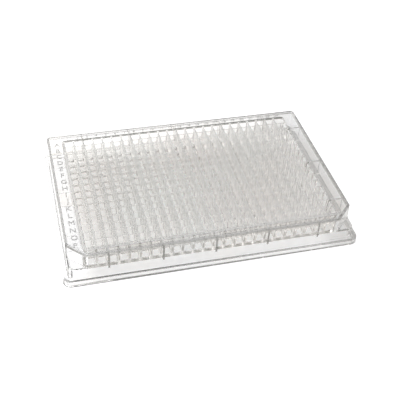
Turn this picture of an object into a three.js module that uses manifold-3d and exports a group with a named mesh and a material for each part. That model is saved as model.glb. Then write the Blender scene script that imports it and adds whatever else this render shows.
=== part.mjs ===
// A 384-well microplate: one clear polystyrene moulding with 16 rows and 24 columns of square wells.
// Millimetres. The origin is the centre of the footprint on the bench, +X runs along a row from
// column 1 to column 24, +Y runs from row P to row A, and +Z is up.
import * as THREE from "three";
import { mergeVertices } from "three/addons/utils/BufferGeometryUtils.js";
import Module from "manifold-3d";

const wasm = await Module();
wasm.setup();

// ---- Driving dimensions -------------------------------------------------------------------------

// The wells, square and narrower at the floor.
const ROWS = 16;
const COLUMNS = 24;
const WELL_PITCH = 4.5;
const WELL_MOUTH = 3.7;
const WELL_FLOOR = 3.35;
const WELL_DEPTH = 9.8;
const WELL_BASE_THICKNESS = 0.9;
const BLOCK_WALL = 1.1; // round the outside of the field of wells, at the mouth
const BLOCK_CORNER_RADIUS = 1.7;

// The space between the block of wells and the outer wall. With the wall and the shelf below, these
// give the standard footprint of 127.76 by 85.48.
const END_MARGIN = 5.88; // at columns 1 and 24
const SIDE_MARGIN = 2.74; // at rows A and P

// The outer wall, which leans in a little towards the top so that the plate leaves its mould.
const PLATE_HEIGHT = 14.35;
const WALL_THICKNESS = 1.2;
const WALL_LEAN = 0.25;
const WALL_CORNER_RADIUS = 1.6;

// The foot: a flange that locates the plate in racks and readers.
const FLANGE_HEIGHT = 2.7;
const FLANGE_WALL = 1.5;
const FLANGE_CORNER_RADIUS = 3.5;
const SHELF_WIDTH = 2.1; // from the flange's face in to the foot of the outer wall
const SHELF_THICKNESS = 1.1;

// The two corners at row P are cut off above a small ledge, so that the plate goes in one way.
const NOTCH_SIZE = 7.6; // along each side
const NOTCH_LEDGE_HEIGHT = 7.5;
const LEDGE_CORNER_RADIUS = 2.8;

// The deck joins the mouths of the wells to the outer wall, and a low rim runs round it.
const RIM_HEIGHT = 0.4;
const RIM_WIDTH = 1.1;
const DECK_THICKNESS = 1.2;

// Ribs under the deck, in line with the walls between wells, tie the block of wells to the outer wall.
const RIB_THICKNESS = 0.8;
const RIB_FOOT_HEIGHT = 5;
const RIB_COLUMN_STEP = 5; // wells from one rib to the next along the long sides
const RIB_ROW_STEP = 6; // and along the short sides
const LONG_SIDE_RIB_PAIRS = 2; // on each side of the rib in the middle
const SHORT_SIDE_RIB_PAIRS = 1;

const CORNER_STEPS = 6; // faces round a quarter turn

// ---- Heights and outlines that follow -----------------------------------------------------------

const deckTop = PLATE_HEIGHT - RIM_HEIGHT;
const deckUnderside = deckTop - DECK_THICKNESS;
const wellFloorHeight = deckTop - WELL_DEPTH;
const blockUnderside = wellFloorHeight - WELL_BASE_THICKNESS;
const shelfUnderside = FLANGE_HEIGHT - SHELF_THICKNESS;
const leanPerHeight = WALL_LEAN / (PLATE_HEIGHT - FLANGE_HEIGHT);
const OVERCUT = 1; // how far a cut runs past the face that it opens

// A rectangle centred on the origin, with the radius of its corners. Those at the row P side may
// have a radius of their own.
const rectangle = (length, width, radius, frontRadius = radius) => ({
  length,
  width,
  radius,
  frontRadius,
});
const grow = ({ length, width }, byLength, byWidth, radius, frontRadius) =>
  rectangle(length + 2 * byLength, width + 2 * byWidth, radius, frontRadius);
const inset = (shape, by) =>
  grow(shape, -by, -by, Math.max(shape.radius - by, 0), Math.max(shape.frontRadius - by, 0));

const block = rectangle(
  (COLUMNS - 1) * WELL_PITCH + WELL_MOUTH + 2 * BLOCK_WALL,
  (ROWS - 1) * WELL_PITCH + WELL_MOUTH + 2 * BLOCK_WALL,
  BLOCK_CORNER_RADIUS,
);
const wallFoot = grow(
  block,
  END_MARGIN + WALL_THICKNESS,
  SIDE_MARGIN + WALL_THICKNESS,
  WALL_CORNER_RADIUS,
  LEDGE_CORNER_RADIUS,
);
const footprint = grow(wallFoot, SHELF_WIDTH, SHELF_WIDTH, FLANGE_CORNER_RADIUS);

// The outside of the outer wall at a height.
function wallAt(height) {
  const lean = leanPerHeight * (height - FLANGE_HEIGHT);
  return grow(wallFoot, -lean, -lean, WALL_CORNER_RADIUS, LEDGE_CORNER_RADIUS);
}

// ---- Solids -------------------------------------------------------------------------------------

// The corner points of a round-cornered rectangle, anticlockwise, each corner an arc of equal steps.
function outline({ length, width, radius: backRadius, frontRadius }) {
  const points = [];
  for (let corner = 0; corner < 4; corner++) {
    const radius = corner < 2 ? backRadius : frontRadius;
    const steps = radius > 0 ? CORNER_STEPS : 0;
    const signX = corner === 0 || corner === 3 ? 1 : -1;
    const signY = corner < 2 ? 1 : -1;
    for (let step = 0; step <= steps; step++) {
      const angle = (Math.PI / 2) * (corner + (steps ? step / steps : 0));
      points.push([
        signX * (length / 2 - radius) + radius * Math.cos(angle),
        signY * (width / 2 - radius) + radius * Math.sin(angle),
      ]);
    }
  }
  return points;
}

// A closed solid between two outlines with as many points, one above the other.
function loft(bottom, top, low, high) {
  const count = bottom.length;
  const positions = [
    ...bottom.flatMap(([x, y]) => [x, y, low]),
    ...top.flatMap(([x, y]) => [x, y, high]),
  ];
  const faces = [];
  for (let i = 0; i < count; i++) {
    const next = (i + 1) % count;
    faces.push(i, next, count + next, i, count + next, count + i);
  }
  for (let i = 1; i < count - 1; i++) {
    faces.push(0, i + 1, i, count, count + i, count + i + 1);
  }
  const geometry = new THREE.BufferGeometry();
  geometry.setAttribute("position", new THREE.Float32BufferAttribute(positions, 3));
  geometry.setIndex(faces);
  return geometry;
}

const prism = (shape, low, high) => loft(outline(shape), outline(shape), low, high);

// A block of the outer wall's outside, or of its inside when moved in by the wall's thickness.
const wallBlock = (moveIn, low, high) =>
  loft(outline(inset(wallAt(low), moveIn)), outline(inset(wallAt(high), moveIn)), low, high);

function solid(geometry) {
  const merged = mergeVertices(geometry);
  return new wasm.Manifold(
    new wasm.Mesh({
      numProp: 3,
      vertProperties: merged.attributes.position.array,
      triVerts: new Uint32Array(merged.index.array),
    }),
  );
}

// The corner that a notch takes out above a height, at the row P side: side is -1 at column 1 and
// +1 at column 24. The cutting plane may be moved into the plate, to leave the wall's thickness.
function notchCorner(side, moveIn, low) {
  const { length, width } = wallAt(PLATE_HEIGHT);
  const reach = OVERCUT + WALL_LEAN;
  const leg = NOTCH_SIZE + Math.SQRT2 * moveIn + 2 * reach;
  const cornerX = side * (length / 2 + reach);
  const cornerY = -(width / 2 + reach);
  const triangle = [
    [cornerX, cornerY],
    [cornerX, cornerY + leg],
    [cornerX - side * leg, cornerY],
  ];
  if (side < 0) triangle.reverse();
  return solid(loft(triangle, triangle, low, PLATE_HEIGHT + OVERCUT));
}

const cutNotches = (body, moveIn, low) =>
  [-1, 1].reduce((cut, side) => cut.subtract(notchCorner(side, moveIn, low)), body);

// The outer wall, deck, rim and flange as one thin shell, open underneath.
function makeShell() {
  const outside = cutNotches(solid(wallBlock(0, 0, PLATE_HEIGHT)), 0, NOTCH_LEDGE_HEIGHT);
  const flange = solid(prism(footprint, 0, FLANGE_HEIGHT));
  const inside = cutNotches(
    solid(wallBlock(WALL_THICKNESS, -OVERCUT, deckUnderside)),
    WALL_THICKNESS,
    NOTCH_LEDGE_HEIGHT - WALL_THICKNESS,
  );
  const flangeInside = solid(prism(inset(footprint, FLANGE_WALL), -OVERCUT, shelfUnderside));
  const aboveDeck = cutNotches(
    solid(wallBlock(RIM_WIDTH, deckTop, PLATE_HEIGHT + OVERCUT)),
    RIM_WIDTH,
    deckTop - OVERCUT,
  );
  return outside.add(flange).subtract(inside).subtract(flangeInside).subtract(aboveDeck);
}

// The block that the wells are sunk in, hanging from the deck.
const makeBlock = () => solid(prism(block, blockUnderside, deckTop));

// A rib is a bar right across the plate, on the line of a wall between wells. Inside the block it
// is one with that wall, and it is cut off where it would run below the block.
function makeRibs() {
  const reach = inset(wallFoot, WALL_THICKNESS / 2);
  const crossing = prism(rectangle(RIB_THICKNESS, reach.width, 0), RIB_FOOT_HEIGHT, deckTop);
  const lengthwise = prism(rectangle(reach.length, RIB_THICKNESS, 0), RIB_FOOT_HEIGHT, deckTop);
  const bars = [];
  for (let i = -LONG_SIDE_RIB_PAIRS; i <= LONG_SIDE_RIB_PAIRS; i++) {
    bars.push(crossing.clone().translate(i * RIB_COLUMN_STEP * WELL_PITCH, 0, 0));
  }
  for (let i = -SHORT_SIDE_RIB_PAIRS; i <= SHORT_SIDE_RIB_PAIRS; i++) {
    bars.push(lengthwise.clone().translate(0, i * RIB_ROW_STEP * WELL_PITCH, 0));
  }
  const belowBlock = solid(prism(block, -OVERCUT, blockUnderside));
  return wasm.Manifold.union(bars.map(solid)).subtract(belowBlock);
}

// The space in every well, from the floor up through the mouth.
function makeWellSpaces() {
  const floor = outline(rectangle(WELL_FLOOR, WELL_FLOOR, 0));
  const widening = (WELL_MOUTH - WELL_FLOOR) / WELL_DEPTH;
  const over = WELL_MOUTH + widening * OVERCUT;
  const mouth = outline(rectangle(over, over, 0));
  const well = loft(floor, mouth, wellFloorHeight, deckTop + OVERCUT);
  const spaces = [];
  for (let row = 0; row < ROWS; row++) {
    for (let column = 0; column < COLUMNS; column++) {
      const x = (column - (COLUMNS - 1) / 2) * WELL_PITCH;
      const y = ((ROWS - 1) / 2 - row) * WELL_PITCH;
      spaces.push(solid(well.clone().translate(x, y, 0)));
    }
  }
  return wasm.Manifold.union(spaces);
}

function makePlate() {
  const body = makeShell().add(makeBlock()).add(makeRibs());
  const { vertProperties, triVerts } = body.subtract(makeWellSpaces()).getMesh();
  const geometry = new THREE.BufferGeometry();
  geometry.setAttribute("position", new THREE.BufferAttribute(vertProperties, 3));
  geometry.setIndex(new THREE.BufferAttribute(triVerts, 1));
  geometry.computeVertexNormals();
  return geometry;
}

const clearPolystyrene = new THREE.MeshStandardMaterial({
  color: 0xd6d4cf,
  roughness: 0.08,
  metalness: 0,
  transparent: true,
  opacity: 0.35,
});

const plate = new THREE.Mesh(makePlate(), clearPolystyrene);
plate.name = "well_plate";

const group = new THREE.Group();
group.add(plate);

export default group;
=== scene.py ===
"""A clear polystyrene microplate with 384 square wells, on a white studio table.

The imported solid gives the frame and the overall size.  The plate is drawn again here as one closed
surface with rounded edges, because clear plastic shows each edge as a thin dark line.  Sizes are in
millimetres until a mesh or a node is made, and every mesh is in metres in the frame's own axes: +X
runs along a row of wells, +Y from row P to row A, and +Z up.
"""

import math
from functools import reduce

import bmesh
import bpy
import numpy as np
from mathutils import Matrix, Vector


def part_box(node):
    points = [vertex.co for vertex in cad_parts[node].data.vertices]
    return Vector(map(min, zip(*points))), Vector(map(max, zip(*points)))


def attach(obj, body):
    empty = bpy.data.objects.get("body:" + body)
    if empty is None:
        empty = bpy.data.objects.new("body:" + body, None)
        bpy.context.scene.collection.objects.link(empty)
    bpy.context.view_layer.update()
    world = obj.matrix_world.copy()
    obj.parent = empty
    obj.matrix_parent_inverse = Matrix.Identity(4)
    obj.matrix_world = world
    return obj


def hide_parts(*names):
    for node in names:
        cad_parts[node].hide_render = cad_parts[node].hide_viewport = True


MILLIMETRE = 0.001
PLATE_NODE = "well_plate"

# The wells, square and narrower at the floor, and the block that they are sunk in.
ROWS = 16
COLUMNS = 24
PITCH = 4.5
WELL_MOUTH = 3.7
WELL_FLOOR = 3.35
WELL_DEPTH = 9.8
WELL_CORNER = 0.35  # radius of the upright corners
WELL_EDGE = 0.3  # the slope round the mouth, and half the one round the floor
WELL_BASE = 0.9  # thickness under the floor
BLOCK_WALL = 1.1  # round the outside of the field of wells, at the mouth
BLOCK_CORNER = 1.7

# The outer wall, its shelf and the flange that it stands on.
WALL = 1.2
WALL_LEAN = 0.25
WALL_CORNER = 1.6
FLANGE_HEIGHT = 2.7
FLANGE_WALL = 1.5
FLANGE_CORNER = 3.5
SHELF_WIDTH = 2.1
SHELF_THICKNESS = 1.1

# The two corners cut off at row P, above a ledge.
NOTCH = 7.6  # along each side
NOTCH_CORNER = 0.8
LEDGE_HEIGHT = 7.5
LOWER_CORNER = 2.8  # the whole corner below the ledge

# The deck, the rim round it and the ribs under it.
RIM_HEIGHT = 0.4
RIM_WIDTH = 1.1
DECK = 1.2
RIB = 0.8
RIB_FOOT_HEIGHT = 5.0
RIB_COLUMN_STEP = 5  # wells from one rib to the next along the long sides
RIB_ROW_STEP = 6  # and along the short sides

# Radii of the moulded edges, and how many faces turn round each kind of edge.
RIM_EDGE = 0.25
FLANGE_EDGE = 0.2
FOOT_EDGE = 0.12
LEDGE_EDGE = 0.25
BLOCK_EDGE = 0.3
FINE_EDGE = 0.12
HOLLOW = 0.3  # the fillet inside a corner, and the least radius of any corner
FINE_STEPS = 2
EDGE_STEPS = 3
FLANGE_STEPS = 4

# How outlines and surfaces are divided, joined and shaded.
CORNER_STEPS = 6  # faces round a quarter turn
CORNER_POINTS = CORNER_STEPS + 5  # its arc, and two points of straight lead at each end
CORNER_LEAD = 0.8  # from where a corner begins to the next point along the side
CUT_ARC_POINTS = 3  # of the arc at each end of a cut
WELL_TURNS = (0, 0.5, 1)  # where the points of a well's corner are, in quarter turns
WELL_POINTS = 4 * len(WELL_TURNS)
RIB_STRIPS = 2  # faces across a rib's thickness
STATION_DECIMALS = 6  # kept in a station's place, so that two at one place are one
STATION_SLACK = 0.001  # allowance for rounding where a station is looked up
MERGE = 0.002  # points nearer than this are one
SHARP_ANGLE = 50.0  # in degrees: faces that meet at more than this are not shaded as one curve
FLAT_FACE_WEIGHT = 90  # how strongly a large face turns the shading of its edges to its own

# The raised marks on the deck.
LETTER_HEIGHT = 2.8
NUMBER_HEIGHT = 1.6
LETTERS_X = -57.3
NUMBERS_Y = 38.0
MARK_RELIEF = 0.15
MARK_ROOT = 0.03  # how far a mark is sunk into the deck
FONT_CAPITAL = 0.729  # the height of the font's capitals, as a share of its size
FONT_STEPS = 2  # points along each curved stroke

# The finishes.  An index is one of refraction.  Along each metre of plastic, light fades by a factor
# of e to the power of the density times 1 - clearness.
INDEX = 1.59
WELL_INDEX = 1.27  # lower, so that the many walls behind each other stay pale
PLASTIC_DENSITY = 30.0
WELL_DENSITY = 50.0
PLASTIC_CLEARNESS = (0.62, 0.615, 0.585, 1.0)
COOL = (0.97, 0.98, 1.0, 1.0)
WARM = (1.0, 0.98, 0.95, 1.0)
WELL_COOL = (0.977, 0.99, 0.986, 1.0)
WELL_WARM = (1.0, 0.976, 0.966, 1.0)
MARK_GREY = (0.55, 0.55, 0.55, 1.0)
BLACK = (0.0, 0.0, 0.0, 1.0)
WHITE = (1.0, 1.0, 1.0, 1.0)
SMOOTH = 0.0  # the roughness of the glossiest patches
ROUGH = 0.02  # and of the dullest
RIPPLE = 0.05
MARK_SMOOTH = 0.25
MARK_ROUGH = 0.4
MARK_RIPPLE = 0.3
RIPPLE_DEPTH = 0.2  # of a ripple of 1

# The noises of the moulded surface: features in a metre, and layers of finer detail.
GLOSS_NOISE = (140, 3)
TINT_NOISE = (45, 2)
RIPPLE_NOISE = (260, 2)
GLOSS_PATCHES = (0.3, 0.7)  # the levels of noise between which the gloss changes

# The haze of the wells, and a painted shade on the highest edges of the plastic, which turns their
# colour towards black.
WELL_HAZE = 0.13
HAZE_SPREAD = 14.0  # from the side of the field to where the haze is full
HAZE_BOTTOM = 3.5  # the height where it begins, above the block's underside
HAZE_ABOVE = 3.8  # and where it is full
RIM_SHADE = 0.5
RIM_SHADE_DEPTH = 0.3  # how far below the top of the rim its shade begins
LAND_SHADE = 0.15  # on the lands between the wells
LAND_SHADE_DEPTH = 0.17  # how far below the deck it begins
SHADE_SPREAD = 0.15  # from where a shade begins to where it is full

# The camera: where it looks from, in degrees and millimetres, and how it is framed.  It looks at the
# middle of the foot.
CAMERA_AZIMUTH = -16.14
CAMERA_ELEVATION = 41.10
CAMERA_ROLL = 3.21
CAMERA_DISTANCE = 345.43
CAMERA_LENS = 67.49
CAMERA_SHIFT_X = 0.0183
CAMERA_SHIFT_Y = -0.0024
CAMERA_CLIP = (0.01, 20.0)  # in metres

# The table.  Its glow is what shows through the plate and in its gloss, where 1 is white.  By place
# it is painted light and shadow: bright on the left and behind on the left, dim on the right, and
# under the block a painted shadow that is deepest under its front edge.
TABLE_REACH = 3000.0  # from the middle to each edge
TABLE_DROP = 0.05  # how far it lies below the plate's foot
TABLE_COLOUR = 0.6  # the share of light that it throws back
TABLE_ROUGHNESS = 0.9
GLOW_LEFT = 0.85  # beside the block of wells
GLOW_AROUND = 0.7
GLOW_RIGHT = 0.5
GLOW_BACK = 0.88  # behind it, on the left
GLOW_MIDDLE = 0.745  # under it
GLOW_FRONT = 0.64  # and under its front edge
GLOW_INSET = 7.0  # how far inside the block's outline the glow under it begins to fade
GLOW_SPREAD = 8.0  # and from there to where it has changed to the glow beside the block
FRONT_GLOW_FROM = 5.0  # from the block's front edge to where the front's glow begins to fade
FRONT_GLOW_TO = 16.0
OPEN_GLOW = 0.85  # the least that the table glows where it is seen straight on

# The painted shade on the table right under the foot, as the share of its colour and glow taken.
CONTACT_LEFT = 0.86  # along the front, at its left end
CONTACT_RIGHT = 0.37  # at its right end, and up the right side
CONTACT_OVERLAP = 0.1  # from the edge of the foot in to where the shade is full
CONTACT_SPREAD = 0.6  # and out to where it ends
CONTACT_FRONT = (2.0, 6.0)  # from the front of the flange to where it begins to fade and to its end
CONTACT_SIDE = (3.0, 6.0)  # and from the flange's right side

# The painted shade line on the table under the left wall, by distances from the wall's outer face.
INNER_LEVEL = 0.1
INNER_BEGIN = 0.1  # outside the face, to where the line begins
INNER_FULL = 0.2  # inside it, to where the line is darkest
INNER_SPREAD = 1.0  # from the wall's inner face to where the line ends
INNER_ENDS = 4.0  # and its length of fading at each end

# The room, by the X and Z of the way that a ray goes.  It is bright on the left and dim on the right,
# dark overhead, and white near the horizon to the rays that see it.
ROOM_LEVEL = 1.0
ROOM_DIM_LEVEL = 0.5
ROOM_BRIGHT_SIDE = -0.25  # the X up to which it is bright
ROOM_DIM_SIDE = 0.35  # and from which it is dim
CEILING_LEVEL = 0.2  # as a share of the room's level
CEILING_FROM = 0.6  # the Z from which it darkens
CEILING_TO = 0.85
HORIZON_FROM = 0.06  # the Z from which the white fades
HORIZON_TO = 0.16

# Soft boxes: azimuth and elevation in degrees, distance and size in metres, power in watts.
BACK_BOX = (134, 52, 0.9, 0.9, 4.1)
FRONT_BOX = (224, 32, 0.9, 0.9, 4.6)

# How often a ray may bounce: many, because it crosses the walls of many wells.
BOUNCES = 64
DIFFUSE_BOUNCES = 4


# ---- Outlines and closed surfaces ---------------------------------------------------------------


def side_stations(count, rib_step):
    """Where one side of every outline is divided: the lines between wells and both faces of each rib."""
    lines = (np.arange(count + 1) - count / 2) * PITCH
    ribs = rib_places(count, rib_step)
    stations = np.concatenate([lines, ribs - RIB / 2, ribs + RIB / 2])
    return np.unique(np.round(stations, STATION_DECIMALS))


def rib_places(count, rib_step):
    """The middles of the ribs along one side: whole steps out from the middle while wells are left."""
    pairs = (count // 2 - 1) // rib_step
    return np.arange(-pairs, pairs + 1) * rib_step * PITCH


LONG_STATIONS = side_stations(COLUMNS, RIB_COLUMN_STEP)
SHORT_STATIONS = side_stations(ROWS, RIB_ROW_STEP)
COLUMN_PLACES = (np.arange(COLUMNS) - (COLUMNS - 1) / 2) * PITCH  # the X of each column's middle
ROW_PLACES = ((ROWS - 1) / 2 - np.arange(ROWS)) * PITCH  # the Y of each row's middle

# A ring's points run along the front side, at row P, round the front right corner, and so on to the
# front left corner.  These are the numbers of the first point of each side and of each corner.
RING_PARTS = [len(LONG_STATIONS), CORNER_POINTS, len(SHORT_STATIONS), CORNER_POINTS] * 2
RING_STARTS = np.cumsum([0, *RING_PARTS[:-1]])
SIDE_STARTS, CORNER_STARTS = RING_STARTS[0::2], RING_STARTS[1::2]
FRONT_CORNERS = (CORNER_STARTS[0], CORNER_STARTS[3])


def rounded_corner(radius, reach):
    """One corner as (distance before it, distance after it): a straight lead, an arc, a straight lead.

    At angle t the arc is at (r sin t - r, r - r cos t) for t from 0 to 90 degrees.  A lead is two
    points, one where the corner begins and one a little further on.
    """
    t = np.linspace(0, math.pi / 2, CORNER_STEPS + 1)
    arc = np.column_stack([radius * np.sin(t) - radius, radius - radius * np.cos(t)])
    lead = reach - min(CORNER_LEAD, reach - radius)
    return np.vstack([[-reach, 0], [-lead, 0], arc, [0, lead], [0, reach]])


def cut_corner(cut, radius):
    """A corner cut off at 45 degrees, with a small arc at each end of the cut.

    The first arc is at (r sin t - reach, r - r cos t) for t from 0 to 45 degrees, and the second is
    its mirror image, so both halves of the corner have the same points the other way round.
    """
    reach = cut_reach(cut, radius)
    t = np.linspace(0, math.pi / 4, CUT_ARC_POINTS)
    first = np.column_stack([radius * np.sin(t) - reach, radius - radius * np.cos(t)])
    second = -first[::-1, ::-1]
    share = np.linspace(0, 1, CORNER_POINTS - 2 * CUT_ARC_POINTS + 2)[1:-1, None]
    middle = first[-1] + share * (second[0] - first[-1])
    return np.vstack([first, middle, second])


def cut_reach(cut, radius):
    """How far from the sharp corner a cut and its end arc begin: an arc of radius r that turns by 45
    degrees begins r tan 22.5 degrees before the corner that it rounds."""
    return cut + radius * math.tan(math.pi / 8)


def ring(x, y, z, radius, cut=0.0, reach=None, front_radius=None, lines_only=False):
    """A closed outline at height z: a rectangle of half sizes x and y, anticlockwise from the row P side.

    Its two corners at row P are cut off by cut, if that is given, and otherwise they are round, by
    front_radius or radius, and begin at reach from the sharp corner.  The two at row A are round.
    Every ring has the same number of points in the same order, so any two can be joined.  A point on
    a side lies at its station, or at the end of the side if the corner begins before it.  With
    lines_only, the faces of the ribs move to the nearest line between wells.
    """
    if cut:
        front_reach, front = cut_reach(cut, radius), cut_corner(cut, radius)
    else:
        front_reach = radius if reach is None else reach
        front = rounded_corner(front_radius or radius, front_reach)
    back = rounded_corner(radius, radius)
    along, across = LONG_STATIONS, SHORT_STATIONS
    if lines_only:
        along, across = np.round(along / PITCH) * PITCH, np.round(across / PITCH) * PITCH
    front_x = np.clip(along, front_reach - x, x - front_reach)
    back_x = np.clip(along, radius - x, x - radius)
    side_y = np.clip(across, front_reach - y, y - radius)
    points = np.vstack([
        np.column_stack([front_x, np.full_like(front_x, -y)]),
        np.column_stack([x + front[:, 0], front[:, 1] - y]),
        np.column_stack([np.full_like(side_y, x), side_y]),
        np.column_stack([x - back[:, 1], y + back[:, 0]]),
        np.column_stack([back_x[::-1], np.full_like(back_x, y)]),
        np.column_stack([-x - back[:, 0], y - back[:, 1]]),
        np.column_stack([np.full_like(side_y, -x), side_y[::-1]]),
        np.column_stack([front[:, 1] - x, -y - front[:, 0]]),
    ])
    return np.column_stack([points, np.full(len(points), z)])


def join_rings(count, points):
    """Quads between count rings of so many points that follow each other.

    Facing rule: with the rings in order down the outside, each quad's front looks outwards.
    """
    first = np.arange(count - 1)[:, None] * points
    here = first + np.arange(points)
    after = first + (np.arange(points) + 1) % points
    return np.stack([here, here + points, after + points, after], axis=-1)


def place(name, data):
    """An object of this name in the scene, at the origin."""
    made = bpy.data.objects.new(name, data)
    bpy.context.scene.collection.objects.link(made)
    return made


def make_piece(name, vertices, faces, materials, finishes=None):
    """A mesh object at the origin from millimetre points, with its small facets shaded as curves.

    finishes gives the number of each face's material.  Points at one place become one, which closes
    the seams and drops the faces that collapse.
    """
    mesh = bpy.data.meshes.new(name)
    mesh.from_pydata((np.asarray(vertices) * MILLIMETRE).tolist(), [], faces)
    if finishes is not None:
        mesh.polygons.foreach_set("material_index", np.asarray(finishes, np.int32))
    closed = bmesh.new()
    closed.from_mesh(mesh)
    bmesh.ops.remove_doubles(closed, verts=closed.verts, dist=MERGE * MILLIMETRE)
    closed.to_mesh(mesh)
    closed.free()
    mesh.shade_smooth()
    mesh.set_sharp_from_angle(angle=math.radians(SHARP_ANGLE))
    for material in materials:
        mesh.materials.append(material)
    return place(name, mesh)


# ---- The plate ----------------------------------------------------------------------------------


def edge_curve(steps):
    """A quarter turn between two faces as shares (along the first, along the second): sin and 1 - cos."""
    t = np.linspace(0, math.pi / 2, steps + 1)
    return np.column_stack([np.sin(t), 1 - np.cos(t)])


class PlateShape:
    """The sizes that the outlines of the plate are worked out from, in millimetres."""

    def __init__(self, low, high):
        self.half_length = (high.x - low.x) / 2 / MILLIMETRE
        self.half_width = (high.y - low.y) / 2 / MILLIMETRE
        self.height = (high.z - low.z) / MILLIMETRE
        self.deck = self.height - RIM_HEIGHT
        self.deck_underside = self.deck - DECK
        self.well_floor = self.deck - WELL_DEPTH
        self.block_underside = self.well_floor - WELL_BASE
        self.shelf_underside = FLANGE_HEIGHT - SHELF_THICKNESS
        self.ledge_underside = LEDGE_HEIGHT - WALL
        self.block_x = ((COLUMNS - 1) * PITCH + WELL_MOUTH) / 2 + BLOCK_WALL
        self.block_y = ((ROWS - 1) * PITCH + WELL_MOUTH) / 2 + BLOCK_WALL

    def wall(self, z, inward=0.0, cut=True, notch_less=0.0):
        """The outer wall's outline at height z, moved in: its lean is in proportion to the height.

        A cut moves in with the sides if each of its legs loses 2 - root 2 times the move, and
        notch_less makes the legs shorter still.  Without cut, all four corners are round.
        """
        lean = WALL_LEAN * (z - FLANGE_HEIGHT) / (self.height - FLANGE_HEIGHT)
        move = SHELF_WIDTH + lean + inward
        notch = NOTCH - (2 - math.sqrt(2)) * inward - notch_less
        radius = max(WALL_CORNER - inward, HOLLOW)
        small = max(NOTCH_CORNER - inward, HOLLOW)
        x, y = self.half_length - move, self.half_width - move
        reach = cut_reach(notch, small)
        if not cut:
            return ring(x, y, z, radius, reach=reach, front_radius=max(LOWER_CORNER - inward, HOLLOW))
        made, cut_off = ring(x, y, z, radius, reach=reach), ring(x, y, z, small, cut=notch)
        for first in FRONT_CORNERS:
            corner = slice(first, first + CORNER_POINTS)
            made[corner] = cut_off[corner]
        return made

    def ledge(self, z, inward):
        """The lower body's outline at height z, moved in only at the two corners that carry a ledge."""
        made, moved = self.wall(z, cut=False), self.wall(z, inward, cut=False)
        for first in FRONT_CORNERS:
            corner = slice(first + 1, first + CORNER_POINTS - 1)
            made[corner] = moved[corner]
        return made

    def flange(self, z, inward=0.0):
        """The flange's outline at height z, moved in."""
        radius = max(FLANGE_CORNER - inward, HOLLOW)
        reach = cut_reach(NOTCH, NOTCH_CORNER) + SHELF_WIDTH - inward
        return ring(self.half_length - inward, self.half_width - inward, z, radius, reach=reach)

    def block(self, z, inward=0.0):
        """The outline of the block of wells at height z, moved in."""
        return ring(self.block_x - inward, self.block_y - inward, z, BLOCK_CORNER - inward)

    def field(self):
        """The edge of the field of wells on the deck, divided only at the lines between wells."""
        return ring(COLUMNS * PITCH / 2, ROWS * PITCH / 2, self.deck, 0.0, lines_only=True)


def plate_profile(shape):
    """The rings of the plate in order: from the edge of the field over the block, deck and rim, down
    the outside, under the flange, up inside the wall, in under the deck and down the block of wells.

    Round an edge, a and b are the shares of its radius gone along the face before and the face after.
    Returns the rings and the numbers of three: the ribs' foot on the wall, the block's first, and the
    ribs' foot on the block.
    """
    fine, edge, flange = edge_curve(FINE_STEPS), edge_curve(EDGE_STEPS), edge_curve(FLANGE_STEPS)
    deck, top, ledge, foot = shape.deck, shape.height, LEDGE_HEIGHT, FLANGE_HEIGHT
    shelf, under, bottom = shape.shelf_underside, shape.deck_underside, shape.block_underside

    rings = [shape.field(), shape.block(deck)]
    rings += [shape.wall(deck + FINE_EDGE * b, RIM_WIDTH + FINE_EDGE * (1 - a)) for a, b in fine]
    rings += [shape.wall(top - FINE_EDGE * (1 - a), RIM_WIDTH - FINE_EDGE * b) for a, b in fine]
    rings += [shape.wall(top - RIM_EDGE * b, RIM_EDGE * (1 - a)) for a, b in edge]
    rings += [shape.wall(ledge + HOLLOW * (1 - a), notch_less=math.sqrt(2) * HOLLOW * b) for a, b in fine]
    rings += [shape.ledge(ledge - LEDGE_EDGE * b, LEDGE_EDGE * (1 - a)) for a, b in edge]
    rings += [shape.wall(foot + HOLLOW * (1 - a), -HOLLOW * b, cut=False) for a, b in edge]
    rings += [shape.flange(foot - FLANGE_EDGE * b, FLANGE_EDGE * (1 - a)) for a, b in flange]
    rings += [shape.flange(FOOT_EDGE * (1 - a), FOOT_EDGE * b) for a, b in fine]
    rings += [shape.flange(FOOT_EDGE * b, FLANGE_WALL - FOOT_EDGE * (1 - a)) for a, b in fine]
    rings += [shape.flange(shelf - HOLLOW * (1 - a), FLANGE_WALL + HOLLOW * b) for a, b in fine]
    rings += [shape.wall(shelf + BLOCK_EDGE * b, WALL - BLOCK_EDGE * (1 - a), cut=False) for a, b in fine]
    rib_foot = len(rings)
    rings.append(shape.wall(RIB_FOOT_HEIGHT, WALL, cut=False))
    rings.append(shape.wall(shape.ledge_underside, WALL, cut=False))
    rings.append(shape.wall(shape.ledge_underside, WALL))
    rings += [shape.wall(under - HOLLOW * (1 - a), WALL + HOLLOW * b) for a, b in edge]
    block_top = len(rings)
    rings += [shape.block(under - HOLLOW * b, -HOLLOW * (1 - a)) for a, b in edge]
    rib_end = len(rings)
    rings.append(shape.block(RIB_FOOT_HEIGHT))
    rings += [shape.block(bottom + BLOCK_EDGE * (1 - a), BLOCK_EDGE * b) for a, b in edge]
    return rings, rib_foot, block_top, rib_end


def rib_numbers():
    """For each rib, the number of its first point in a ring: its middle and its far face follow on.

    The back and left sides run against their stations, so there a rib is counted from the far end.
    """
    long_side = (LONG_STATIONS, rib_places(COLUMNS, RIB_COLUMN_STEP))
    short_side = (SHORT_STATIONS, rib_places(ROWS, RIB_ROW_STEP))
    numbers = []
    for side, (stations, places) in enumerate([long_side, short_side] * 2):
        at = np.searchsorted(stations, places - RIB / 2 - STATION_SLACK)
        if side >= 2:
            at = len(stations) - 1 - RIB_STRIPS - at
        numbers.append(SIDE_STARTS[side] + at)
    return np.concatenate(numbers)


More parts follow.
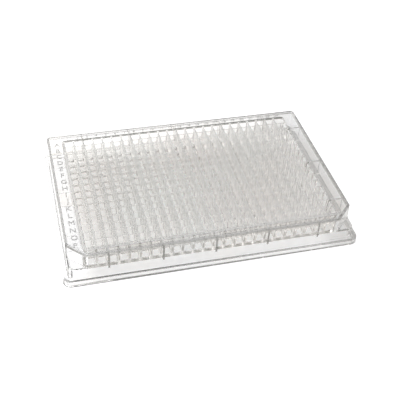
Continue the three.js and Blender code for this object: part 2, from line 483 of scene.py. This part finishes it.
def plate_body(shape):
    """The plate without its wells: the profile carried round the outline, then opened for the ribs.

    A rib takes the place of the strip of profile between its two faces, from its foot on the wall
    round to its foot on the block.  Each of its faces is that part of the profile, closed along the
    foot.  Returns the points and two lists of groups of faces, those of the shell and those of the
    block, which has the strip of deck above its outer wall.
    """
    rings, rib_foot, block_top, rib_end = plate_profile(shape)
    points = len(rings[0])
    quads = join_rings(len(rings), points)

    keep = np.ones(quads.shape[:2], bool)
    across = np.arange(rib_foot, rib_end + 1) * points
    sides, feet = [], []
    for number in rib_numbers():
        far = number + RIB_STRIPS
        keep[rib_foot:rib_end, number:far] = False
        sides += [across + number, (across + far)[::-1]]
        for n in range(number, far):
            feet.append([across[0] + n, across[-1] + n, across[-1] + n + 1, across[0] + n + 1])
    underside = ((len(rings) - 1) * points + np.arange(points))[::-1]
    shell = [quads[1:block_top][keep[1:block_top]], np.array(sides), np.array(feet)]
    block = [quads[0], quads[block_top:][keep[block_top:]], underside[None, :]]
    return np.vstack(rings), shell, block


def square_ring(half, radius):
    """The points of a round-cornered square, anticlockwise: each corner's centre plus its arc.

    At angle t an arc's point is at (r cos t, r sin t), and the centres are half - r out both ways.
    """
    corner = np.repeat(np.arange(4), len(WELL_TURNS))
    t = (corner + np.tile(WELL_TURNS, 4)) * math.pi / 2
    middle = math.pi / 4 + corner * math.pi / 2
    centre = np.column_stack([np.cos(middle), np.sin(middle)]) * math.sqrt(2) * (half - radius)
    return centre + radius * np.column_stack([np.cos(t), np.sin(t)])


def well_faces():
    """One well's faces as three groups, of quads, triangles and the floor.

    Its points are the four corners of its square of deck and then four rings, the mouth first.
    """
    square = np.arange(4)
    next_square = (square + 1) % 4
    around = np.arange(WELL_POINTS)
    after = (around + 1) % WELL_POINTS
    mouth = len(square)
    starts = mouth + WELL_POINTS * np.arange(4)
    first_of_corner = mouth + len(WELL_TURNS) * square
    first_of_next = mouth + len(WELL_TURNS) * next_square
    last_of_corner = first_of_corner + len(WELL_TURNS) - 1
    walls = [
        np.column_stack([upper + around, upper + after, lower + after, lower + around])
        for upper, lower in zip(starts[:-1], starts[1:])
    ]
    deck_sides = np.column_stack([square, next_square, first_of_next, last_of_corner])
    deck_corners = np.vstack([
        np.column_stack([square, first_of_corner + step + 1, first_of_corner + step])
        for step in range(len(WELL_TURNS) - 1)
    ])
    floor = starts[-1] + around[None, :]
    return [np.vstack([*walls, deck_sides]), deck_corners, floor]


def wells(shape):
    """Every well with its square of deck, as one well's points moved to each place on the pitch.

    A well's rings are the edge of the mouth, the wall's top and foot, and the floor.  The corners of
    its square of deck are shared with the wells beside it.
    """
    square = PITCH / 2 * np.array([[1, 1], [-1, 1], [-1, -1], [1, -1]])
    levels = [
        (square, shape.deck),
        (square_ring(WELL_MOUTH / 2 + WELL_EDGE, WELL_CORNER + WELL_EDGE), shape.deck),
        (square_ring(WELL_MOUTH / 2, WELL_CORNER), shape.deck - WELL_EDGE),
        (square_ring(WELL_FLOOR / 2, WELL_CORNER), shape.well_floor + 2 * WELL_EDGE),
        (square_ring(WELL_FLOOR / 2 - 2 * WELL_EDGE, WELL_CORNER - WELL_EDGE), shape.well_floor),
    ]
    one = np.vstack([np.column_stack([xy, np.full(len(xy), z)]) for xy, z in levels])
    places = np.stack(np.meshgrid(COLUMN_PLACES, ROW_PLACES), axis=-1).reshape(-1, 2)
    shift = np.column_stack([places, np.zeros(len(places))])
    vertices = (shift[:, None, :] + one[None, :, :]).reshape(-1, 3)
    each = (np.arange(len(places)) * len(one))[:, None, None]
    return vertices, [(each + group).reshape(-1, group.shape[1]) for group in well_faces()]


def build_plate(shape, outside, inside):
    """The whole plate: the body and the wells, which share the points where they meet on the deck.

    outside is the finish of the shell, and inside that of the wells and their block.
    """
    body, shell, block = plate_body(shape)
    well, groups = wells(shape)
    block += [group + len(body) for group in groups]
    faces = [face for group in [*shell, *block] for face in group.tolist()]
    finishes = np.arange(len(faces)) >= sum(len(group) for group in shell)
    plate = make_piece("plate", np.vstack([body, well]), faces, [outside, inside], finishes)
    level = plate.modifiers.new("flat faces stay flat", "WEIGHTED_NORMAL")
    level.keep_sharp = True
    level.weight = FLAT_FACE_WEIGHT
    return plate


# ---- The marks ----------------------------------------------------------------------------------


def raised_text(words, height):
    """The points and faces of a short text as a closed raised solid, centred on the origin, in millimetres.

    The text's size is its height over the share that a capital has of it, and the extrusion goes
    half up and half down.
    """
    curve = bpy.data.curves.new("mark", "FONT")
    curve.body = words
    curve.align_x, curve.align_y = "CENTER", "CENTER"
    curve.size = height / FONT_CAPITAL
    curve.extrude = (MARK_RELIEF + MARK_ROOT) / 2
    curve.resolution_u = FONT_STEPS
    holder = place("mark", curve)
    mesh = bpy.data.meshes.new_from_object(holder)
    flat = np.empty(3 * len(mesh.vertices), np.float32)
    mesh.vertices.foreach_get("co", flat)
    vertices = flat.reshape(-1, 3).astype(float)
    faces = [np.array(face.vertices) for face in mesh.polygons]
    bpy.data.objects.remove(holder)
    bpy.data.curves.remove(curve)
    bpy.data.meshes.remove(mesh)
    vertices[:, :2] -= (vertices[:, :2].min(axis=0) + vertices[:, :2].max(axis=0)) / 2
    return vertices, faces


def build_marks(shape, material):
    """The letters A to P beside the rows and the numbers 1 to 24 behind the columns."""
    middle = shape.deck + (MARK_RELIEF - MARK_ROOT) / 2
    marks = [(chr(ord("A") + row), LETTER_HEIGHT, LETTERS_X, y) for row, y in enumerate(ROW_PLACES)]
    marks += [(str(column), NUMBER_HEIGHT, x, NUMBERS_Y) for column, x in enumerate(COLUMN_PLACES, 1)]
    vertices, faces, count = [], [], 0
    for words, height, x, y in marks:
        points, polygons = raised_text(words, height)
        vertices.append(points + [x, y, middle])
        faces += [(count + face).tolist() for face in polygons]
        count += len(points)
    return make_piece("marks", np.vstack(vertices), faces, [material])


# ---- Nodes --------------------------------------------------------------------------------------


class Wiring:
    """Short ways to add nodes to one node tree.  A value is a socket to link, or a plain number, colour
    or vector."""

    def __init__(self, tree):
        self.nodes, self.links = tree.nodes, tree.links

    def feed(self, socket, value):
        """Link a socket from another one, or set it to a plain value."""
        if isinstance(value, bpy.types.NodeSocket):
            self.links.new(value, socket)
        else:
            socket.default_value = value

    def node(self, kind, values=(), **settings):
        """A node with these settings, whose inputs are fed by number or by name."""
        made = self.nodes.new(kind)
        for name, setting in settings.items():
            setattr(made, name, setting)
        by_key = values if isinstance(values, dict) else dict(enumerate(values))
        for key, value in by_key.items():
            self.feed(made.inputs[key], value)
        return made

    def maths(self, operation, *values):
        """The number that one calculation gives."""
        return self.node("ShaderNodeMath", values, operation=operation).outputs["Value"]

    def vector_maths(self, operation, *values):
        """The vector that one calculation gives."""
        return self.node("ShaderNodeVectorMath", values, operation=operation).outputs["Vector"]

    def product(self, *values):
        """All values multiplied."""
        return reduce(lambda a, b: self.maths("MULTIPLY", a, b), values)

    def largest(self, *values):
        """The largest of the values."""
        return reduce(lambda a, b: self.maths("MAXIMUM", a, b), values)

    def split(self, vector):
        """A vector's X, Y and Z."""
        return self.node("ShaderNodeSeparateXYZ", [vector]).outputs[:]

    def fade(self, value, start, end, low=0.0, high=1.0, step="SMOOTHSTEP"):
        """From low to high while value goes from start to end, and level outside."""
        ends = {"Value": value, "From Min": start, "From Max": end, "To Min": low, "To Max": high}
        return self.node("ShaderNodeMapRange", ends, interpolation_type=step).outputs["Result"]

    def fade_along(self, place_on_axis, start, end, low=0.0, high=1.0):
        """A fade along an axis in metres, with its start and end in millimetres."""
        return self.fade(place_on_axis, start * MILLIMETRE, end * MILLIMETRE, low, high)

    def noise(self, where, scale, detail):
        """A noise, from 0 to 1."""
        values = {"Vector": where, "Scale": scale, "Detail": detail}
        return self.node("ShaderNodeTexNoise", values).outputs["Fac"]

    def mix(self, share, first, second):
        """The first colour with a share of the second in it."""
        values = {"Factor": share, "A": first, "B": second}
        return self.node("ShaderNodeMix", values, data_type="RGBA").outputs["Result"]

    def rays(self, *kinds):
        """1 for rays of these kinds, and 0 for all others."""
        path = self.node("ShaderNodeLightPath").outputs
        return self.largest(*[path[f"Is {kind} Ray"] for kind in kinds])


# ---- Finishes -----------------------------------------------------------------------------------


def moulded_surface_group():
    """Shared node group for moulded plastic: a rippled skin, patches of gloss, haze and painted edge shade.

    Roughness runs from Smooth to Rough with a noise, plus Haze where the place is inside the field
    of wells: that share is the product of smooth steps in from its four sides and up from its
    underside.  Tint mixes Cool and Warm with a slow noise, as stress in clear plastic does, and above
    Edge Height it is darkened towards black by a painted edge shade of that strength.  Normal tilts
    with a fine noise, by Ripple.
    """
    group = bpy.data.node_groups.new("moulded surface", "ShaderNodeTree")
    for name, kind, value in (
        ("Smooth", "NodeSocketFloat", SMOOTH),
        ("Rough", "NodeSocketFloat", ROUGH),
        ("Ripple", "NodeSocketFloat", RIPPLE),
        ("Haze", "NodeSocketFloat", 0.0),
        ("Edge Height", "NodeSocketFloat", 1.0),
        ("Painted Edge Shade", "NodeSocketFloat", 0.0),
        ("Cool", "NodeSocketColor", COOL),
        ("Warm", "NodeSocketColor", WARM),
    ):
        group.interface.new_socket(name, in_out="INPUT", socket_type=kind).default_value = value
    for name, kind in (
        ("Roughness", "NodeSocketFloat"),
        ("Tint", "NodeSocketColor"),
        ("Normal", "NodeSocketVector"),
    ):
        group.interface.new_socket(name, in_out="OUTPUT", socket_type=kind)
    wiring = Wiring(group)
    given = wiring.node("NodeGroupInput").outputs
    out = wiring.node("NodeGroupOutput").inputs
    where = wiring.node("ShaderNodeTexCoord").outputs["Object"]
    x, y, z = wiring.split(where)

    patches = wiring.noise(where, *GLOSS_NOISE)
    gloss = wiring.fade(patches, *GLOSS_PATCHES, given["Smooth"], given["Rough"], "LINEAR")
    half_x, half_y = COLUMNS * PITCH / 2, ROWS * PITCH / 2
    in_x = wiring.fade_along(wiring.maths("ABSOLUTE", x), half_x, half_x - HAZE_SPREAD)
    in_y = wiring.fade_along(wiring.maths("ABSOLUTE", y), half_y, half_y - HAZE_SPREAD)
    in_z = wiring.fade_along(z, HAZE_BOTTOM, HAZE_ABOVE)
    haze = wiring.product(in_x, in_y, in_z, given["Haze"])
    wiring.feed(out["Roughness"], wiring.maths("ADD", gloss, haze))

    tint = wiring.mix(wiring.noise(where, *TINT_NOISE), given["Cool"], given["Warm"])
    # Painted shade: above Edge Height the tint turns towards black, so the highest edges are drawn darker.
    shade_full = wiring.maths("ADD", given["Edge Height"], SHADE_SPREAD * MILLIMETRE)
    shade = wiring.fade(z, given["Edge Height"], shade_full, 0.0, given["Painted Edge Shade"])
    wiring.feed(out["Tint"], wiring.mix(shade, tint, BLACK))

    skin = wiring.noise(where, *RIPPLE_NOISE)
    bump = {"Distance": RIPPLE_DEPTH * MILLIMETRE, "Strength": given["Ripple"], "Height": skin}
    wiring.feed(out["Normal"], wiring.node("ShaderNodeBump", bump).outputs["Normal"])
    return group


def clear_plastic(name, surface, index, density, skin, colour=None):
    """Clear plastic: a glassy shader with the shared moulded surface, whose inputs skin gives by name.

    With a density it takes up light by its thickness, so that edges seen lengthwise are grey.  With a
    colour it is that all over, and otherwise it has the surface's tint.
    """
    material = bpy.data.materials.new(name)
    material.use_nodes = True
    wiring = Wiring(material.node_tree)
    shader = wiring.nodes["Principled BSDF"].inputs
    shader["Transmission Weight"].default_value = 1.0
    shader["IOR"].default_value = index
    moulded = wiring.node("ShaderNodeGroup", skin, node_tree=surface).outputs
    wiring.feed(shader["Base Color"], colour or moulded["Tint"])
    wiring.feed(shader["Roughness"], moulded["Roughness"])
    wiring.feed(shader["Normal"], moulded["Normal"])
    if density:
        depth = wiring.node("ShaderNodeVolumeAbsorption", {"Color": PLASTIC_CLEARNESS, "Density": density})
        wiring.feed(wiring.nodes["Material Output"].inputs["Volume"], depth.outputs["Volume"])
    return material


def outside_plastic(surface, shape):
    """The glossy outside of the plate, with a painted shade along the top of its rim."""
    return clear_plastic("clear polystyrene", surface, INDEX, PLASTIC_DENSITY, {
        "Smooth": SMOOTH,
        "Rough": ROUGH,
        "Ripple": RIPPLE,
        "Edge Height": (shape.height - RIM_SHADE_DEPTH) * MILLIMETRE,
        "Painted Edge Shade": RIM_SHADE,
        "Cool": COOL,
        "Warm": WARM,
    })


def well_plastic(surface, shape):
    """The wells and their block: a haze inside the field, and painted shade on the lands between wells.

    It bends light less than the outside does, so that the many walls behind each other stay pale.
    """
    return clear_plastic("clear polystyrene of the wells", surface, WELL_INDEX, WELL_DENSITY, {
        "Smooth": SMOOTH,
        "Rough": ROUGH,
        "Ripple": RIPPLE,
        "Haze": WELL_HAZE,
        "Edge Height": (shape.deck - LAND_SHADE_DEPTH) * MILLIMETRE,
        "Painted Edge Shade": LAND_SHADE,
        "Cool": WELL_COOL,
        "Warm": WELL_WARM,
    })


def mark_plastic(surface):
    """The raised marks: duller and greyer than the deck that they stand on."""
    skin = {"Smooth": MARK_SMOOTH, "Rough": MARK_ROUGH, "Ripple": MARK_RIPPLE}
    return clear_plastic("raised marks", surface, INDEX, 0.0, skin, MARK_GREY)


# ---- The studio ---------------------------------------------------------------------------------


def plate_glow(wiring, x, y, shape):
    """The painted light and shadow that the table shows through the plate, at a place in metres.

    Beside the block it is GLOW_AROUND, with smooth steps up to GLOW_LEFT, to GLOW_BACK behind its left
    and down to GLOW_RIGHT.  Under the block it goes to GLOW_MIDDLE, or to GLOW_FRONT at its front.
    """
    inner_x, inner_y = shape.block_x - GLOW_INSET, shape.block_y - GLOW_INSET
    outer_x, outer_y = inner_x + GLOW_SPREAD, inner_y + GLOW_SPREAD
    left = wiring.fade_along(x, -outer_x, -inner_x, GLOW_LEFT - GLOW_AROUND, 0.0)
    right = wiring.fade_along(x, inner_x, outer_x, GLOW_AROUND, GLOW_RIGHT)
    back = wiring.product(
        wiring.fade_along(y, inner_y, outer_y, 0.0, GLOW_BACK - GLOW_AROUND),
        wiring.fade_along(x, -inner_x, inner_x, 1.0, 0.0),
    )
    beside = wiring.maths("ADD", wiring.largest(left, back), right)
    front = -shape.block_y
    below = wiring.fade_along(y, front + FRONT_GLOW_FROM, front + FRONT_GLOW_TO, GLOW_FRONT, GLOW_MIDDLE)
    under = wiring.product(
        wiring.fade_along(wiring.maths("ABSOLUTE", x), inner_x, outer_x, 1.0, 0.0),
        wiring.fade_along(wiring.maths("ABSOLUTE", y), inner_y, outer_y, 1.0, 0.0),
    )
    return wiring.maths("ADD", beside, wiring.product(under, wiring.maths("SUBTRACT", below, beside)))


def foot_shade(wiring, where, x, y, shape):
    """The painted shade under the foot: the share of the table's colour and glow that it takes, along
    the front and up the right side.

    How far a place p lies outside the foot's round-cornered outline is the length of
    max(|p| - half size + radius, 0), less the radius.  The shade goes by the distance from the middle
    of the foot's wall, inwards or outwards.
    """
    half_x, half_y = shape.half_length, shape.half_width
    radius = FLANGE_CORNER
    out_of_reach = 1.0  # a metre up, which leaves the height out of the distance
    centre = ((half_x - radius) * MILLIMETRE, (half_y - radius) * MILLIMETRE, out_of_reach)
    past_centre = wiring.vector_maths("SUBTRACT", wiring.vector_maths("ABSOLUTE", where), centre)
    beyond = wiring.vector_maths("MAXIMUM", past_centre, (0.0, 0.0, 0.0))
    length = wiring.node("ShaderNodeVectorMath", [beyond], operation="LENGTH").outputs["Value"]
    outwards = wiring.maths("SUBTRACT", length, (radius - FLANGE_WALL / 2) * MILLIMETRE)
    from_middle = wiring.maths("ABSOLUTE", outwards)

    front_full, front_end = CONTACT_FRONT
    side_full, side_end = CONTACT_SIDE
    front = wiring.fade_along(y, front_full - half_y, front_end - half_y, 1.0, 0.0)
    along = wiring.fade_along(x, -half_x, half_x, CONTACT_LEFT, CONTACT_RIGHT)
    right = wiring.fade_along(x, half_x - side_end, half_x - side_full, 0.0, CONTACT_RIGHT)
    full, end = FLANGE_WALL / 2 - CONTACT_OVERLAP, FLANGE_WALL / 2 + CONTACT_SPREAD
    close = wiring.fade_along(from_middle, full, end, 1.0, 0.0)
    return wiring.product(wiring.largest(wiring.product(front, along), right), close)


def wall_line(wiring, x, y, shape):
    """The level of the painted shade line under the left wall, and 1 beside it and past its ends."""
    face, end = SHELF_WIDTH - shape.half_length, shape.half_width - SHELF_WIDTH - WALL
    before = wiring.fade_along(x, face - INNER_BEGIN, face + INNER_FULL, 1.0, INNER_LEVEL)
    after = wiring.fade_along(x, face + WALL, face + WALL + INNER_SPREAD, INNER_LEVEL, 1.0)
    ends = wiring.fade_along(wiring.maths("ABSOLUTE", y), end - INNER_ENDS, end)
    return wiring.largest(before, after, ends)


def table_material(shape):
    """White table: it takes the plate's soft shadow, and shows white to the camera and through the plate.

    It glows only for the rays that see it, with painted light and shadow by place, and the painted
    shades under the plate darken glow and colour alike.
    """
    material = bpy.data.materials.new("white table")
    material.use_nodes = True
    wiring = Wiring(material.node_tree)
    shader = wiring.nodes["Principled BSDF"].inputs
    shader["Roughness"].default_value = TABLE_ROUGHNESS
    shader["Emission Color"].default_value = WHITE
    where = wiring.node("ShaderNodeTexCoord").outputs["Object"]
    x, y, _ = wiring.split(where)

    # Painted shades, under the foot and under the left wall: they darken colour and glow alike.
    open_share = wiring.maths("SUBTRACT", 1.0, foot_shade(wiring, where, x, y, shape))
    clear = wiring.product(open_share, wall_line(wiring, x, y, shape))
    grey = wiring.product(clear, TABLE_COLOUR)
    colour = wiring.node("ShaderNodeCombineColor", [grey, grey, grey])
    wiring.feed(shader["Base Color"], colour.outputs["Color"])

    # The table's painted light and shadow by place, darkened by the painted shades under the plate.
    through = wiring.product(plate_glow(wiring, x, y, shape), clear)
    straight_on = wiring.product(wiring.rays("Camera"), wiring.product(clear, OPEN_GLOW))
    seen = wiring.rays("Camera", "Glossy", "Transmission")
    wiring.feed(shader["Emission Strength"], wiring.product(wiring.largest(through, straight_on), seen))
    return material


def build_table(shape):
    """A level table that runs past the picture on every side, a hair below the plate's foot."""
    half, z = TABLE_REACH * MILLIMETRE, -TABLE_DROP * MILLIMETRE
    corners = [(-half, -half, z), (half, -half, z), (half, half, z), (-half, half, z)]
    mesh = bpy.data.meshes.new("table")
    mesh.from_pydata(corners, [], [(0, 1, 2, 3)])
    mesh.materials.append(table_material(shape))
    place("table", mesh)


def light_world():
    """The room: bright on the left, dim on the right and dark overhead.

    Its level is the product of a smooth step across and one up.  Near the horizon it is white to the
    rays that see it, so that a low view has a white ground.
    """
    world = bpy.data.worlds.new("studio")
    bpy.context.scene.world = world
    world.use_nodes = True
    wiring = Wiring(world.node_tree)
    sky = wiring.nodes["Background"].inputs
    x, _, z = wiring.split(wiring.node("ShaderNodeTexCoord").outputs["Generated"])
    side = wiring.fade(x, ROOM_BRIGHT_SIDE, ROOM_DIM_SIDE, ROOM_LEVEL, ROOM_DIM_LEVEL)
    ceiling = wiring.fade(z, CEILING_FROM, CEILING_TO, 1.0, CEILING_LEVEL)
    horizon = wiring.fade(z, HORIZON_FROM, HORIZON_TO, 1.0, 0.0)
    seen = wiring.rays("Camera", "Glossy", "Transmission")
    level = wiring.largest(wiring.product(side, ceiling), wiring.product(horizon, seen))
    wiring.feed(sky["Strength"], level)
    sky["Color"].default_value = WHITE


def towards(azimuth, elevation):
    """The unit vector at an angle round from +X and an angle up: (cos a cos e, sin a cos e, sin e)."""
    a, e = math.radians(azimuth), math.radians(elevation)
    return Vector((math.cos(a) * math.cos(e), math.sin(a) * math.cos(e), math.sin(e)))


def soft_box(name, azimuth, elevation, distance, size, power):
    """A square soft box aimed at the plate, at an angle round from +X and an angle up."""
    lamp = bpy.data.lights.new(name, "AREA")
    lamp.shape, lamp.size, lamp.energy = "SQUARE", size, power
    way = towards(azimuth, elevation)
    turn = way.to_track_quat("Z", "Y").to_matrix().to_4x4()
    place(name, lamp).matrix_world = Matrix.Translation(way * distance) @ turn


def place_camera():
    """The camera looks at the middle of the foot, from an angle round from the row P side and an angle
    up, and its picture is turned by the roll."""
    back = towards(CAMERA_AZIMUTH - 90, CAMERA_ELEVATION)
    roll = math.radians(CAMERA_ROLL)
    level = Vector((0, 0, 1)).cross(back).normalized()
    rise = back.cross(level)
    right = level * math.cos(roll) + rise * math.sin(roll)
    up = rise * math.cos(roll) - level * math.sin(roll)
    data = bpy.data.cameras.new("camera")
    data.lens, data.shift_x, data.shift_y = CAMERA_LENS, CAMERA_SHIFT_X, CAMERA_SHIFT_Y
    data.clip_start, data.clip_end = CAMERA_CLIP
    camera = place("camera", data)
    turn = Matrix((right, up, back)).transposed().to_4x4()
    camera.matrix_world = Matrix.Translation(back * CAMERA_DISTANCE * MILLIMETRE) @ turn
    bpy.context.scene.camera = camera


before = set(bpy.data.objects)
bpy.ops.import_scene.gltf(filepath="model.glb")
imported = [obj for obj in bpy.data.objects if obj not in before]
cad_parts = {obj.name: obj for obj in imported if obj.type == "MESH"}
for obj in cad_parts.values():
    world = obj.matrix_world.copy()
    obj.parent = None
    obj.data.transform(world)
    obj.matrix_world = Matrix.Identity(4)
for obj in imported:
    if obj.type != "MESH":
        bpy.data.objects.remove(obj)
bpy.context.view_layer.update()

shape = PlateShape(*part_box(PLATE_NODE))
surface = moulded_surface_group()
plate = build_plate(shape, outside_plastic(surface, shape), well_plastic(surface, shape))
marks = build_marks(shape, mark_plastic(surface))
for piece in (plate, marks):
    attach(piece, "root")
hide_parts(PLATE_NODE)

build_table(shape)
light_world()
soft_box("soft box behind the left", *BACK_BOX)
soft_box("soft box before the left", *FRONT_BOX)
place_camera()

scene = bpy.context.scene
scene.view_settings.view_transform = "Standard"
scene.cycles.max_bounces = BOUNCES
scene.cycles.transmission_bounces = BOUNCES
scene.cycles.glossy_bounces = BOUNCES
scene.cycles.diffuse_bounces = DIFFUSE_BOUNCES
